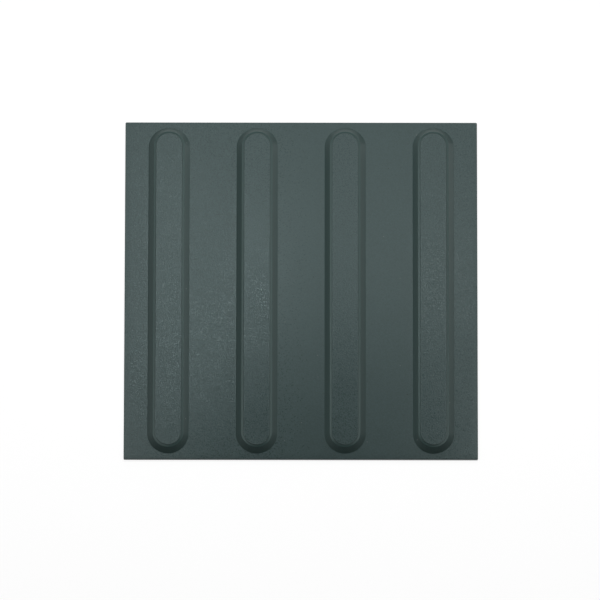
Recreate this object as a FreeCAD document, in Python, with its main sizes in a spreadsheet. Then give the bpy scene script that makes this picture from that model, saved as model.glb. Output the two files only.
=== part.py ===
"""Tactile paving slab: a thin square plate with four flat-topped guiding bars, moulded as one piece.

The bars run along Y, the walking direction. The underside lies on z = 0, with the origin at its
middle. All sizes are in millimetres.
"""

import FreeCAD, Part
import Sketcher
import os

NODE = "slab"
X_AXIS_INDEX = -1
Y_AXIS_INDEX = -2
START_INDEX = 1
END_INDEX = 2
SKETCH_ORIGIN = (X_AXIS_INDEX, START_INDEX)
HALF_TURN = 180
TOLERANCE = 1e-3

# Driving sizes: alias, value, what it measures.
SIZES = (
    ("plate_width", 300, "plate, across the bars"),
    ("plate_length", 300, "plate, along the bars"),
    ("plate_thickness", 3, "plate, between the bars"),
    ("plate_corner_round", 1, "radius of the plate's four upright corners"),
    ("plate_rim_round", 0.4, "radius along the plate's upper edges"),
    ("bar_count", 4, "bars, evenly spread over the plate's width"),
    ("bar_width", 35, "bar, across its foot"),
    ("bar_height", 5, "bar, above the plate"),
    ("bar_end_margin", 5, "from a bar's end to the plate's edge"),
    ("bevel_run", 4.5, "how far the bar's sloping side leans inwards"),
    ("shoulder_run", 1.8, "width of the smooth shoulder above the sloping side"),
    ("shoulder_rise", 0.4, "rise of the shoulder over that width"),
    ("step_run", 0.3, "how far the small step from the shoulder to the tread leans inwards"),
    ("step_rise", 0.35, "height of that step"),
    ("foot_round", 0.6, "hollow radius where the bar meets the plate"),
    ("shoulder_round", 0.5, "radius between the sloping side and the shoulder"),
    ("tread_round", 0.15, "radius along the edge of the tread"),
)

# Sizes that follow from the driving ones: alias, formula. The pitch carries on from slab to slab.
FORMULAS = (
    ("half_width", "plate_width / 2"),
    ("half_length", "plate_length / 2"),
    ("bar_pitch", "plate_width / bar_count"),
    ("bars_span", "bar_pitch * (bar_count - 1)"),
    ("first_bar", "-bars_span / 2"),
    ("half_bar", "half_length - bar_end_margin"),
    ("half_foot", "bar_width / 2"),
    ("half_shoulder", "half_foot - bevel_run"),
    ("half_step", "half_shoulder - shoulder_run"),
    ("half_tread", "half_step - step_run"),
    ("end_centre", "half_bar - half_foot"),
    ("root_level", "plate_thickness / 2"),
    ("tread_level", "plate_thickness + bar_height"),
    ("step_level", "tread_level - step_rise"),
    ("shoulder_level", "step_level - shoulder_rise"),
)

# Corners of a bar's right flank, from its root inside the plate up to the edge of its tread:
# distance from the bar's middle, level.
FLANK = (
    ("sizes.half_foot", "sizes.root_level"),
    ("sizes.half_foot", "sizes.plate_thickness"),
    ("sizes.half_shoulder", "sizes.shoulder_level"),
    ("sizes.half_step", "sizes.step_level"),
    ("sizes.half_tread", "sizes.tread_level"),
)
ON_AXIS = "0"


def add_sheet(doc):
    """The spreadsheet with the driving sizes and the formulas that follow from them."""
    sheet = doc.addObject("Spreadsheet::Sheet", "sizes")
    rows = [(alias, str(value), meaning) for alias, value, meaning in SIZES]
    rows += [(alias, f"={formula}", alias.replace("_", " ")) for alias, formula in FORMULAS]
    for row, (alias, content, meaning) in enumerate(rows, start=1):
        sheet.set(f"A{row}", meaning)
        sheet.set(f"B{row}", content)
        sheet.setAlias(f"B{row}", alias)
    doc.recompute()


def opposite(size):
    """The same size on the other side of the middle."""
    return f"-{size}"


def with_next(items):
    """Each item with the one after it, and the last with the first."""
    items = list(items)
    return zip(items, items[1:] + items[:1])


def origin_feature(body, role):
    return next(feature for feature in body.Origin.OriginFeatures if feature.Role == role)


def add_sketch(body, name, plane):
    sketch = body.newObject("Sketcher::SketchObject", name)
    sketch.AttachmentSupport = (origin_feature(body, plane), [""])
    sketch.MapMode = "FlatFace"
    return sketch


def draw_outline(sketch, corners):
    """A closed outline of straight lines, each corner held at its two sizes from the sketch's origin."""
    places = [FreeCAD.Vector(*map(sketch.evalExpression, corner)) for corner in corners]
    lines = sketch.addGeometry([Part.LineSegment(*ends) for ends in with_next(places)], False)
    for line, following in with_next(lines):
        meeting_ends = (line, END_INDEX, following, START_INDEX)
        sketch.addConstraint(Sketcher.Constraint("Coincident", *meeting_ends))
    for line, place, (across, up) in zip(lines, places, corners):
        hold_corner(sketch, line, "DistanceX", place.x, across, Y_AXIS_INDEX)
        hold_corner(sketch, line, "DistanceY", place.y, up, X_AXIS_INDEX)


def hold_corner(sketch, line, direction, distance, size, axis):
    """Holds a line's start at a size from the origin, or on the axis from which that size is measured."""
    corner = (line, START_INDEX)
    if size == ON_AXIS:
        sketch.addConstraint(Sketcher.Constraint("PointOnObject", *corner, axis))
        return
    held = sketch.addConstraint(Sketcher.Constraint(direction, *SKETCH_ORIGIN, *corner, distance))
    sketch.setExpression(f"Constraints[{held}]", size)


def edges_where(feature, test):
    """The names of a feature's edges whose bounding boxes pass a test."""
    edges = enumerate(feature.Shape.Edges, start=1)
    return [f"Edge{number}" for number, edge in edges if test(edge.BoundBox)]


def round_edges(body, name, test, radius):
    """Rounds the edges of the body so far that pass a test."""
    body.Document.recompute()
    base = body.Tip
    fillet = body.newObject("PartDesign::Fillet", name)
    fillet.Base = (base, edges_where(base, test))
    fillet.setExpression("Radius", radius)
    body.Tip = fillet
    body.Document.recompute()


def add_plate(body):
    """The flat plate, from z = 0 upwards, with its four upright corners rounded."""
    right, back = "sizes.half_width", "sizes.half_length"
    left, front = opposite(right), opposite(back)
    outline = add_sketch(body, "plate_outline", "XY_Plane")
    draw_outline(outline, ((left, front), (right, front), (right, back), (left, back)))
    plate = body.newObject("PartDesign::Pad", "plate")
    plate.Profile = outline
    plate.setExpression("Length", "sizes.plate_thickness")
    body.Tip = plate
    round_edges(body, "plate_corners", lambda box: box.ZLength > TOLERANCE, "sizes.plate_corner_round")


def add_bar_sketch(body, name, along, corners):
    """An upright section across the first bar, at a place along it."""
    sketch = add_sketch(body, name, "XZ_Plane")
    sketch.setExpression("AttachmentOffset.Base.x", "sizes.first_bar")
    sketch.setExpression("AttachmentOffset.Base.z", opposite(along))
    draw_outline(sketch, corners)
    return sketch


def add_bar_straight(body):
    """The straight part of the first bar: its whole section, carried between the centres of its ends."""
    left_flank = tuple((opposite(across), up) for across, up in reversed(FLANK))
    straight = body.newObject("PartDesign::Pad", "bar_straight")
    straight.Profile = add_bar_sketch(body, "bar_section", ON_AXIS, FLANK + left_flank)
    straight.SideType = "Symmetric"
    straight.setExpression("Length", "2 * sizes.end_centre")
    return straight


def add_bar_end(body, name, centre, clockwise):
    """A round end of the first bar: half of its section, turned half round the end's upright axis."""
    root, tread = (ON_AXIS, "sizes.root_level"), (ON_AXIS, "sizes.tread_level")
    end = body.newObject("PartDesign::Revolution", name)
    end.Profile = add_bar_sketch(body, f"{name}_section", centre, (root, *FLANK, tread))
    end.ReferenceAxis = (end.Profile[0], ["V_Axis"])
    end.Angle = HALF_TURN
    end.Reversed = clockwise
    return end


def add_bars(body):
    """The first bar, and the others beside it at the pitch."""
    first_bar = [
        add_bar_straight(body),
        add_bar_end(body, "bar_back_end", "sizes.end_centre", clockwise=False),
        add_bar_end(body, "bar_front_end", opposite("sizes.end_centre"), clockwise=True),
    ]
    bars = body.newObject("PartDesign::LinearPattern", "bars")
    bars.Originals = first_bar
    bars.Direction = (origin_feature(body, "X_Axis"), [""])
    bars.setExpression("Length", "sizes.bars_span")
    bars.setExpression("Occurrences", "sizes.bar_count")
    body.Tip = bars


def add_rounds(body, sheet):
    """The small radii along the plate's rim and along each bar's foot, shoulder and tread."""

    def level_at(level):
        return lambda box: abs(box.ZMin - level) < TOLERANCE and abs(box.ZMax - level) < TOLERANCE

    def on_bar(box):
        return max(box.YMax, -box.YMin) < sheet.half_bar + TOLERANCE

    def on_rim(box):
        return plate_top(box) and not on_bar(box)

    def on_foot(box):
        return plate_top(box) and on_bar(box)

    plate_top = level_at(sheet.plate_thickness)
    round_edges(body, "plate_rim", on_rim, "sizes.plate_rim_round")
    round_edges(body, "bar_feet", on_foot, "sizes.foot_round")
    round_edges(body, "bar_shoulders", level_at(sheet.shoulder_level), "sizes.shoulder_round")
    round_edges(body, "bar_treads", level_at(sheet.tread_level), "sizes.tread_round")


def check(doc, body):
    """Stops before anything is written if an object failed or the slab isn't one valid solid."""
    failed = [obj.Label for obj in doc.Objects if {"Invalid", "Error"} & set(obj.State)]
    if failed:
        raise RuntimeError(f"these objects failed to build: {failed}")
    shape = body.Shape
    if shape.isNull() or not shape.isValid() or len(shape.Solids) != 1:
        raise RuntimeError("the slab isn't one valid solid")


def main():
    doc = FreeCAD.newDocument("tactile_slab")
    add_sheet(doc)
    body = doc.addObject("PartDesign::Body", NODE)
    body.Label = NODE
    body.Placement = FreeCAD.Placement()
    add_plate(body)
    add_bars(body)
    add_rounds(body, doc.sizes)
    check(doc, body)
    os.makedirs("parts", exist_ok=True)
    body.Shape.exportStep(f"parts/{body.Label}.step")
    box = body.Shape.optimalBoundingBox(False, False)
    litres = body.Shape.Volume / 1e6
    print(f"{NODE}: {box.XLength:.2f} x {box.YLength:.2f} x {box.ZLength:.2f} mm, {litres:.4f} litres")


main()
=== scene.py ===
import bmesh
import bpy
import numpy as np
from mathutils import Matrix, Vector


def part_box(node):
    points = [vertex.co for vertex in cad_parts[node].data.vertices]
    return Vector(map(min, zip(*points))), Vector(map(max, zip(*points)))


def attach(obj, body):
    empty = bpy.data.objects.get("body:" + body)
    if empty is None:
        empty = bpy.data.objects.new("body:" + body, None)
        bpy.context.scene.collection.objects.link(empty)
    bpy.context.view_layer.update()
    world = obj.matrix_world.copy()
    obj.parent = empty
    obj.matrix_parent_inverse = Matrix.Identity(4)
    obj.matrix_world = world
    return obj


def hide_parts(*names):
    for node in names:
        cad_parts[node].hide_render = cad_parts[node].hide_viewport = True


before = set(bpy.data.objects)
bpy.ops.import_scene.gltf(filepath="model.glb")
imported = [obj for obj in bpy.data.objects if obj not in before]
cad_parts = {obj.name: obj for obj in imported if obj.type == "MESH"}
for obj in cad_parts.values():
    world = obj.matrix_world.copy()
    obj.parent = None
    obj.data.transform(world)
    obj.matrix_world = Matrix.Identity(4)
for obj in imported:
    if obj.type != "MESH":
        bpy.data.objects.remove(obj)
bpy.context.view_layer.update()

# Slab
# One moulded piece, a thin square plate with four flat-topped guiding bars, of soft polymer coloured
# right through. The mould's plate and tread faces are etched to a fine grain, and its flanks and
# shoulders are left smooth. The slab lies on its flat underside, where it is glued down.
MM = 0.001
_, (half_width, half_length, tread_level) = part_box("slab")
plate_level = 3 * MM
corner_round = 1 * MM
rim_round = 0.4 * MM
bar_count = 4
bar_pitch = 2 * half_width / bar_count
bar_places = (np.arange(bar_count) - (bar_count - 1) / 2) * bar_pitch
bar_margin = 5 * MM
half_foot = 17.5 * MM
flank_run = 4.5 * MM
shoulder_run = 1.8 * MM
step_run = 0.3 * MM
half_shoulder = half_foot - flank_run
half_step = half_shoulder - shoulder_run
half_tread = half_step - step_run
step_level = tread_level - 0.35 * MM
shoulder_level = step_level - 0.4 * MM
end_centre = half_length - bar_margin - half_foot

# Corners of a bar's flank from the plate to the tread: distance from the bar's spine, level, radius.
flank_corners = np.array([
    (half_foot, plate_level, 0.6 * MM),
    (half_shoulder, shoulder_level, 0.5 * MM),
    (half_step, step_level, 0.12 * MM),
    (half_tread, tread_level, 0.15 * MM),
])

# The finish: how strong the plate's grain is beside the treads', the share of it that is left at places
# across the slab, the painted shade at the bars' feet, and how far in from its edge a tread is paled by
# rubbing and a painted highlight.
plate_grain = 0.9
worn_places = np.array([-45, 10, 95, 130]) * MM
worn_shares = (1, 0.57, 0.57, 0.9)
# The darkening at the bars' feet and in the corners of the steps is painted shade.
foot_painted_shade = 0.8
# The paler tread edges are partly rubbing and partly a painted highlight on their rounding.
rub_and_highlight_width = 0.9 * MM


def unit(vectors):
    """Vectors along the last axis, divided by their lengths."""
    return vectors / np.linalg.norm(vectors, axis=-1, keepdims=True)


def rounded_section(before, corners, after, steps=6, guard=0.1 * MM):
    """A section line with rounded corners, as one row of points for each corner.

    Where the line turns by an angle a, the rounding begins and ends r * tan(a / 2) from the corner, and
    between them it is the parabola with the corner as its middle control point. One more point on each
    side, a guard further out, keeps the flat stretches flat when they are shaded smooth.
    """
    points, radii = corners[:, :2], corners[:, 2:]
    line = np.vstack([before, points, after])
    into, out_of = unit(line[1:-1] - line[:-2]), unit(line[2:] - line[1:-1])
    turn = np.arccos(np.clip((into * out_of).sum(1, keepdims=True), -1, 1))
    reach = radii * np.tan(turn / 2)
    s = np.linspace(0, 1, steps + 1)[None, :, None]
    begin, end = points - into * reach, points + out_of * reach
    curve = begin[:, None] * (1 - s) ** 2 + points[:, None] * 2 * s * (1 - s) + end[:, None] * s**2
    guard_before, guard_after = begin - into * guard, end + out_of * guard
    return np.concatenate([guard_before[:, None], curve, guard_after[:, None]], axis=1)


def edge_places(straight, straight_steps, end_steps):
    """Places from -1 to 1 along an edge: even as far as the straight share, then closing up towards each
    end as the sine of an even angle."""
    middle = np.linspace(-straight, straight, straight_steps + 1)
    end = straight + (1 - straight) * np.sin(np.linspace(0, np.pi / 2, end_steps + 1)[1:])
    return np.concatenate([-end[::-1], middle, end])


def inner_corner(points):
    """The nearest points of the square that is a corner radius smaller than the slab."""
    limit = half_width - corner_round
    return np.clip(points, -limit, limit)


def cell_sides():
    """The right, back, left and front sides of the plate's cells, one cell round each bar, anticlockwise.

    Neighbouring cells share their side. On the slab's own corners, a point that lies (a, b) beyond the
    inner corner moves along its ray until its distance from there is max(a, b), which is an arc.
    """
    reach = np.full((2, bar_count), bar_pitch / 2)
    reach[0, 0] -= rim_round
    reach[1, -1] -= rim_round
    straight_share = end_centre / half_length
    along = edge_places(straight_share, straight_steps=60, end_steps=26) * (half_length - rim_round)
    share = edge_places(straight=0.1, straight_steps=4, end_steps=44)
    across = bar_places[:, None] + np.where(share < 0, share * reach[0, :, None], share * reach[1, :, None])
    sides = []
    for x, y in (
        (across[:, -1:], along),
        (across[:, ::-1], along[-1]),
        (across[:, :1], along[::-1]),
        (across, along[0]),
    ):
        side = np.stack(np.broadcast_arrays(x, y), -1)
        beyond = side - inner_corner(side)
        length = np.linalg.norm(beyond, axis=-1, keepdims=True)
        longest = np.abs(beyond).max(-1, keepdims=True)
        sides.append(inner_corner(side) + beyond * longest / np.where(length > 0, length, 1))
    return sides


def lift(flat, levels):
    """Plan points by ring and ray, raised to each ring's level."""
    heights = np.broadcast_to(levels[:, None, None], (*flat.shape[-3:-1], 1))
    return np.concatenate([flat, np.broadcast_to(heights, (*flat.shape[:-1], 1))], -1)


def upper_surface(sides):
    """The upper face as rings round each bar, with the grain, the paling by rubbing and painted highlight,
    and the painted shade of each point.

    The point of ring v on ray u lies at spine(u) + out(u) * d(v), where spine(u) is the point of the bar's
    spine that is nearest to the outline's point u, out(u) points from one to the other, and d(v) runs from
    the outline inwards over foot, flank, shoulder, step and tread to the spine. Its level is the section's.
    The finish goes by the ring, and the plate's grain is also multiplied by the share left at its place.
    """
    outline = np.concatenate([side[:, :-1] for side in sides], axis=1)
    nearest = np.clip(outline[..., 1], -end_centre, end_centre)
    spine = np.stack(np.broadcast_arrays(bar_places[:, None], nearest), -1)
    away = outline - spine
    reach = np.linalg.norm(away, axis=-1)[:, None]
    section = rounded_section((half_foot + 1 * MM, plate_level), flank_corners, (0, tread_level))
    foot = section[0]
    bar = section.reshape(-1, 2)
    plate_shares = np.array([1, 0.7, 0.4, 0.15])
    tread_places = np.array([half_tread - rub_and_highlight_width, 0.6 * half_tread, 0.3 * half_tread, 0])
    plate_part = foot[0, 0] + (reach - foot[0, 0]) * plate_shares[:, None]
    inward = np.concatenate([bar[:, 0], tread_places])
    bar_part = np.broadcast_to(inward[:, None], (bar_count, inward.size, outline.shape[1]))
    distance = np.concatenate([plate_part, bar_part], axis=1)
    plate = np.zeros(plate_shares.size)
    tread = np.zeros(tread_places.size)
    levels = np.concatenate([plate + plate_level, bar[:, 1], tread + tread_level])
    surface = lift(spine[:, None] + unit(away)[:, None] * distance[..., None], levels)
    fade = np.linspace(1, 0, len(foot))
    bend = np.zeros(len(foot))
    # Of these rings, the darkening at the bar's foot and step corners is painted shade, and the paling of
    # the tread's rounded edge is rubbing and a painted highlight.
    rings = {
        "grain": [plate + plate_grain, fade * plate_grain, bend, bend, 1 - fade, tread + 1],
        "rub_and_highlight": [plate, bend, bend, bend, bend + 1, tread],
        "painted_shade": [plate, foot_painted_shade - fade * foot_painted_shade, fade * foot_painted_shade, bend + 1, fade, tread],
    }
    finish = {
        name: np.tile(np.concatenate(values)[:, None], (bar_count, 1, outline.shape[1]))
        for name, values in rings.items()
    }
    worn = np.interp(surface[..., 0], worn_places, worn_shares)
    plate_rings = plate.size + len(foot)
    finish["grain"][:, :plate_rings] *= worn[:, :plate_rings]
    return surface, finish


def lower_surface(sides, under_steps=4, rim_steps=6):
    """The rest of the skin as rings: from the underside's middle out to its edge, up the side, and over the
    rim on a quarter circle to the outline of the upper face."""
    right, back, left, front = (side[:, :-1] for side in sides)
    outline = np.concatenate([right[-1], *back[::-1], left[0], *front])
    out = unit(outline - inner_corner(outline))
    turn = np.linspace(0, np.pi / 2, rim_steps + 1)
    under = (outline + out * rim_round) * np.linspace(0, 1, under_steps + 1)[:, None, None]
    rim = outline + out * rim_round * np.cos(turn)[:, None, None]
    levels = plate_level - rim_round * (1 - np.sin(turn))
    return lift(np.concatenate([under, rim]), np.concatenate([np.zeros(len(under)), levels]))


def ring_faces(rings, rays, first=0):
    """The quads between neighbouring rings of a closed grid, as rows of four vertex numbers."""
    numbers = first + np.arange(rings * rays).reshape(rings, rays)
    following = np.roll(numbers, -1, axis=1)
    return np.stack([numbers[:-1], following[:-1], following[1:], numbers[1:]], -1).reshape(-1, 4)


def add_mesh(name, vertices, faces, attributes, merge_reach=0.001 * MM, sharp_angle=np.radians(50)):
    """A smooth-shaded mesh object with its doubled seam and pole points merged."""
    mesh = bpy.data.meshes.new(name)
    mesh.from_pydata(vertices, [], faces)
    for attribute, values in attributes.items():
        layer = mesh.attributes.new(attribute, "FLOAT", "POINT")
        layer.data.foreach_set("value", values.astype(np.float32))
    merged = bmesh.new()
    merged.from_mesh(mesh)
    bmesh.ops.remove_doubles(merged, verts=merged.verts, dist=merge_reach)
    merged.to_mesh(mesh)
    merged.free()
    mesh.shade_smooth()
    mesh.set_sharp_from_angle(angle=sharp_angle)
    piece = bpy.data.objects.new(name, mesh)
    bpy.context.collection.objects.link(piece)
    return piece


sides = cell_sides()
upper, finish = upper_surface(sides)
lower = lower_surface(sides)
rings, rays = upper.shape[1:3]
upper_faces = [ring_faces(rings, rays, bar * rings * rays) for bar in range(bar_count)]
lower_faces = ring_faces(*lower.shape[:2], bar_count * rings * rays)
lower_finish = {"grain": 0.5, "rub_and_highlight": 0, "painted_shade": 0}
finish = {
    name: np.concatenate([values.ravel(), np.full(lower[..., 0].size, lower_finish[name])])
    for name, values in finish.items()
}
slab = add_mesh(
    "slab_skin",
    np.concatenate([upper.reshape(-1, 3), lower.reshape(-1, 3)]),
    np.concatenate([*upper_faces, lower_faces]),
    finish,
)


class Signal:
    """A shader socket that can be used in sums: each operator adds a Math node to its tree."""

    def __init__(self, tree, socket):
        self.tree = tree
        self.socket = socket

    def math(self, operation, first, second):
        """A Math node on two values."""
        return self.tree.node("ShaderNodeMath", {"operation": operation}, {0: first, 1: second})

    def __add__(self, other):
        return self.math("ADD", self, other)

    def __radd__(self, other):
        return self.math("ADD", other, self)

    def __sub__(self, other):
        return self.math("SUBTRACT", self, other)

    def __rsub__(self, other):
        return self.math("SUBTRACT", other, self)

    def __mul__(self, other):
        return self.math("MULTIPLY", self, other)

    def __rmul__(self, other):
        return self.math("MULTIPLY", other, self)

    def __lt__(self, other):
        return self.math("LESS_THAN", self, other)

    def __gt__(self, other):
        return self.math("GREATER_THAN", self, other)


class Tree:
    """A node tree that is filled one node at a time."""

    def __init__(self, node_tree):
        self.node_tree = node_tree
        node_tree.nodes.clear()

    def node(self, kind, settings=None, inputs=None, output=0):
        """Adds a node: its settings first, then the value or link of each named or numbered socket."""
        made = self.node_tree.nodes.new(kind)
        for name, value in (settings or {}).items():
            setattr(made, name, value)
        for name, value in (inputs or {}).items():
            socket = self.find(made.inputs, name)
            if isinstance(value, Signal):
                self.node_tree.links.new(value.socket, socket)
            else:
                socket.default_value = value
        return Signal(self, self.find(made.outputs, output)) if made.outputs else None

    def find(self, sockets, name):
        """The socket of that name or number that is in use with the node's settings."""
        return next(s for n, s in enumerate(sockets) if name in (n, s.name) and not s.is_unavailable)


def polymer_finish():
    """Dark green-grey polymer, faintly mottled, and of a deeper green on the smooth flanks.

    The etched faces have a pebbled relief with slanting streaks, and on it small facets that lean at
    random. A share of those that lean back are smooth, and glint. The relief's hollows are darker, as dust
    and painted shade, and its peaks paler where rubbed. Painted shade darkens the corners of the steps and
    the bars' feet, the tread edges are paled by rubbing and a painted highlight, and a few specks of dirt
    and dust lie about.
    """
    material = bpy.data.materials.new("moulded_polymer")
    material.use_nodes = True
    tree = Tree(material.node_tree)
    place = tree.node("ShaderNodeTexCoord", output="Object")
    etched = tree.node("ShaderNodeAttribute", {"attribute_name": "grain"}, output="Fac")
    rub_and_highlight_mask = tree.node("ShaderNodeAttribute", {"attribute_name": "rub_and_highlight"}, output="Fac")
    painted_shade_mask = tree.node("ShaderNodeAttribute", {"attribute_name": "painted_shade"}, output="Fac")

    def noise(size, detail, vector=place):
        """Soft noise from 0 to 1 with lumps of about a size."""
        inputs = {"Vector": vector, "Scale": 1 / size, "Detail": detail, "Roughness": 0.55}
        return tree.node("ShaderNodeTexNoise", {}, inputs, "Fac")

    def channel(colour, name):
        """One channel of a colour as a number."""
        return tree.node("ShaderNodeSeparateColor", {}, {"Color": colour}, name)

    def specks(spacing, size, share, seed):
        """Round dots on a share of the cells of a random pattern."""
        shifted = tree.node("ShaderNodeMapping", {}, {"Vector": place, "Location": (seed, seed, 0)})
        flat = {"voronoi_dimensions": "2D"}
        inputs = {"Vector": shifted, "Scale": 1 / spacing}
        near = tree.node("ShaderNodeTexVoronoi", flat, inputs, "Distance") < size / spacing
        chance = channel(tree.node("ShaderNodeTexVoronoi", flat, inputs, "Color"), "Red")
        return near * (chance < share)

    def tint(colour, other, factor):
        """A colour turned towards another one by a factor."""
        inputs = {"Factor": factor, "A": colour, "B": other}
        return tree.node("ShaderNodeMix", {"data_type": "RGBA"}, inputs, "Result")

    def vector_sum(operation, inputs):
        """The result of one Vector Math node."""
        return tree.node("ShaderNodeVectorMath", {"operation": operation}, inputs)

    # Relief of the etching, pebbles and slanting streaks, deeper in some patches than in others.
    relief_height = 0.1 * MM
    streak_angle = np.radians(40)
    streak_squeeze = 0.45
    pebble_share = 0.6
    streak_share = 0.4
    least_depth = 0.6
    patch_depth = 0.8
    slanted = tree.node("ShaderNodeMapping", {}, {
        "Vector": place, "Rotation": (0, 0, streak_angle), "Scale": (1, streak_squeeze, 1)})
    pebble = noise(size=1.15 * MM, detail=1.5)
    streak = noise(size=1.0 * MM, detail=1, vector=slanted)
    cloud = noise(size=45 * MM, detail=3)
    patch = noise(size=22 * MM, detail=1)
    relief = (pebble * pebble_share + streak * streak_share) * etched * (least_depth + patch * patch_depth)
    normal = tree.node("ShaderNodeBump", {}, {
        "Height": relief, "Strength": 1, "Distance": relief_height}, "Normal")

    # Facets of the grain, each with a random colour that gives its lean and whether it is smooth.
    facet_size = 0.72 * MM
    facet_lean = 0.068
    facet_middle = 0.5
    glint_threshold = 0.52
    glint_share = 0.85
    facet = tree.node("ShaderNodeTexVoronoi", {}, {"Vector": place, "Scale": 1 / facet_size}, "Color")
    smooth = channel(facet, "Blue") < (etched - glint_threshold) * glint_share
    glint = smooth * (channel(facet, "Green") > facet_middle)
    lean = vector_sum("SUBTRACT", {0: facet, 1: (facet_middle,) * 3})
    lean = vector_sum("SCALE", {0: lean, "Scale": etched * etched * facet_lean})
    normal = vector_sum("ADD", {0: normal, 1: lean})
    normal = vector_sum("NORMALIZE", {0: normal})

    # Colour, from the mottled polymer up to what lies on it, with painted shade and a painted highlight.
    dark_polymer = (0.0246, 0.0390, 0.0386, 1)
    pale_polymer = (0.0718, 0.1140, 0.1130, 1)
    flank_polymer = (0.0415, 0.0750, 0.0705, 1)
    rub_and_highlight_colour = (0.072, 0.104, 0.103, 1)
    painted_shade_colour = (0.016, 0.026, 0.026, 1)
    dirt_colour = (0.020, 0.027, 0.027, 1)
    dust_colour = (0.150, 0.170, 0.168, 1)
    grain_dust_and_shade_contrast = 1.3
    cloud_share = 0.15
    grain_dust_and_shade_share = 0.85
    painted_shade_share = 0.35
    rub_and_highlight_share = 0.9
    # The grain is darker in its hollows, as dust and painted shade, and paler on its rubbed peaks.
    grain_dust_and_shade = 0.5 + (pebble - 0.5) * (etched * grain_dust_and_shade_contrast)
    colour = tint(dark_polymer, pale_polymer, cloud * cloud_share + grain_dust_and_shade * grain_dust_and_shade_share)
    colour = tint(colour, flank_polymer, 1 - etched * 2)
    # Painted shade in the corners of the steps and at the bars' feet.
    colour = tint(colour, painted_shade_colour, painted_shade_mask * painted_shade_share)
    # Paler tread edges, from rubbing and a painted highlight on their rounding.
    colour = tint(colour, rub_and_highlight_colour, rub_and_highlight_mask * (streak * rub_and_highlight_share))
    colour = tint(colour, dirt_colour, specks(spacing=16 * MM, size=0.45 * MM, share=0.03, seed=0.31))
    colour = tint(colour, dust_colour, specks(spacing=14 * MM, size=0.35 * MM, share=0.04, seed=0.77))

    # Gloss: satin all over, uneven with the mottling, and polished on the facets that glint.
    satin_roughness = 0.30
    glint_polish = 0.21
    cloud_roughness = 0.04
    roughness = satin_roughness - glint * glint_polish + cloud * cloud_roughness
    surface = tree.node("ShaderNodeBsdfPrincipled", {}, {
        "Base Color": colour, "Roughness": roughness, "Specular IOR Level": 0.4,
        "Specular Tint": (0.87, 1, 0.99, 1), "Normal": normal}, "BSDF")
    tree.node("ShaderNodeOutputMaterial", {}, {"Surface": surface})
    return material


slab.data.materials.append(polymer_finish())
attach(slab, "root")
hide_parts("slab")

# Floor
# A plain white studio sheet of paper that lies flat under the slab and sweeps up far away on every side.
# It is a hair lower than the slab's underside, so that the two faces never lie in one plane.
floor_flat = 6.0
floor_reach = 10.0
floor_rise = 2.5
floor_gap = 0.05 * MM


def floor_surface(flat_steps=3, sweep_steps=12, rays=96):
    """Rings round the middle: flat out to the sweep, which rises as the square of the distance past it."""
    sweep = np.linspace(floor_flat, floor_reach, sweep_steps + 1)
    radius = np.concatenate([np.linspace(0, floor_flat, flat_steps + 1), sweep[1:]])
    height = floor_rise * np.clip((radius - floor_flat) / (floor_reach - floor_flat), 0, 1) ** 2
    angle = np.linspace(0, 2 * np.pi, rays, endpoint=False)
    circle = np.stack([np.cos(angle), np.sin(angle)], -1)
    return lift(radius[:, None, None] * circle, height - floor_gap)


def paper_finish():
    """White paper. For the rays that show it as a background it has a glow, so that it looks white in the
    open and keeps the slab's shadow."""
    paper_colour = (0.8, 0.8, 0.8, 1)
    shadow_colour = (0.15, 0.15, 0.15, 1)
    glow_strength = 0.92
    material = bpy.data.materials.new("white_paper")
    material.use_nodes = True
    tree = Tree(material.node_tree)
    seen = (
        tree.node("ShaderNodeLightPath", output="Is Camera Ray")
        + tree.node("ShaderNodeLightPath", output="Is Glossy Ray")
        + tree.node("ShaderNodeLightPath", output="Is Transmission Ray")
    )
    glow = tree.node("ShaderNodeEmission", {}, {"Color": (1, 1, 1, 1), "Strength": glow_strength})
    dim = tree.node("ShaderNodeBsdfDiffuse", {}, {"Color": shadow_colour})
    paper = tree.node("ShaderNodeBsdfDiffuse", {}, {"Color": paper_colour})
    shown = tree.node("ShaderNodeAddShader", {}, {0: glow, 1: dim})
    surface = tree.node("ShaderNodeMixShader", {}, {0: seen, 1: paper, 2: shown})
    tree.node("ShaderNodeOutputMaterial", {}, {"Surface": surface})
    return material


sheet = floor_surface()
floor = add_mesh("floor", sheet.reshape(-1, 3), ring_faces(*sheet.shape[:2])[:, ::-1], {})
floor.data.materials.append(paper_finish())

# Light
# Soft studio panels: a layered one overhead that grows brighter towards the back, two over the front
# corners, small ones for the edges, a low one behind and one on the right, and two wide dim ones far
# behind. Thin cool tubes under the layered panel make the grain glint. The room is dim.
back_edge = 0.45
back_width = 0.9
back_height = 0.45
layer_gap = 0.005
tube_height = 0.42
tube_width = 0.005
tube_colour = (0.88, 0.98, 1)
room_strength = 0.02

# Layers of the back panel: place of the front edge, power.
back_layers = ((-0.04, 0.13), (0.075, 0.44), (0.1, 0.38), (0.125, 0.34))

# Tubes: place across the slab, place along it, length, power.
tubes = (
    (-0.142, 0.082, 0.09, 0.017),
    (-0.114, 0.14, 0.25, 0.038),
    (-0.086, 0.078, 0.1, 0.02),
    (-0.067, 0.078, 0.1, 0.02),
    (-0.0395, 0.16, 0.11, 0.049),
    (0.0375, 0.15, 0.1, 0.009),
    (0.1125, 0.148, 0.245, 0.018),
)


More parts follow.
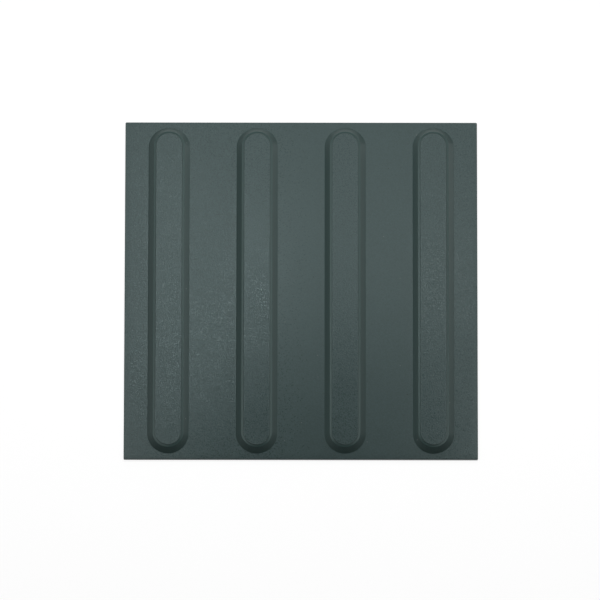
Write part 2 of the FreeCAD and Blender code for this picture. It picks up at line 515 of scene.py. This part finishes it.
def add_panel(name, place, size, power, aim=(0, 0, 0), colour=(1, 1, 1)):
    """A rectangular soft light at a place, facing a point."""
    light = bpy.data.lights.new(name, "AREA")
    light.shape = "RECTANGLE"
    light.size, light.size_y = size
    light.energy = power
    light.color = colour
    panel = bpy.data.objects.new(name, light)
    panel.visible_camera = False
    panel.location = place
    direction = Vector(aim) - Vector(place)
    panel.rotation_euler = direction.to_track_quat("-Z", "Y").to_euler()
    bpy.context.collection.objects.link(panel)


def add_overhead(name, place, size, power, colour=(1, 1, 1)):
    """A panel that faces down, to a point a millimetre behind the one below it, which settles its turn."""
    x, y, _ = place
    add_panel(name, place, size, power, (x, y + 1 * MM, 0), colour)


for layer, (front, power) in enumerate(back_layers):
    place = (0, (front + back_edge) / 2, back_height + layer_gap * layer)
    add_overhead(f"back_panel_{layer}", place, (back_width, back_edge - front), power)
for number, (x, y, length, power) in enumerate(tubes):
    add_overhead(f"tube_{number}", (x, y, tube_height), (tube_width, length), power, tube_colour)
add_overhead("left_edge_panel", (-0.14, 0.2, 0.44), size=(0.1, 0.18), power=0.037)
add_overhead("right_edge_panel", (0.15, 0.155, 0.44), size=(0.12, 0.1), power=0.038)
add_panel("back_wall", (0, 0.9, 0.3), size=(0.9, 0.5), power=1.7)
add_overhead("left_panel", (-0.29, -0.06, 0.45), size=(0.33, 0.28), power=0.51)
add_overhead("right_panel", (0.295, -0.06, 0.45), size=(0.31, 0.28), power=0.52)
add_panel("side_panel", (1.08, 0.44, 0.25), size=(0.4, 0.4), power=0.86)
add_panel("far_left_panel", (-2.4, 2.8, 1.6), size=(4.0, 1.8), power=4.5)
add_panel("far_right_panel", (2.4, 2.8, 1.6), size=(4.0, 1.8), power=4.5)

world = bpy.data.worlds.new("studio")
bpy.context.scene.world = world
world.use_nodes = True
studio = Tree(world.node_tree)
room = studio.node("ShaderNodeBackground", {}, {"Color": (1, 1, 1, 1), "Strength": room_strength})
studio.node("ShaderNodeOutputWorld", {}, {"Surface": room})
bpy.context.scene.view_settings.view_transform = "Standard"

# Camera
# The slab is seen from in front and far above, a little askew, through a lens so long that opposite sides
# of the slab stay parallel.
camera_data = bpy.data.cameras.new("camera")
camera_data.sensor_width = 36
camera_data.lens = 720
camera = bpy.data.objects.new("camera", camera_data)
camera.location = (0.0033, -3.0681, 9.7293)
camera.rotation_euler = np.radians((17.4602, 0, 0.0775))
bpy.context.collection.objects.link(camera)
bpy.context.scene.camera = camera
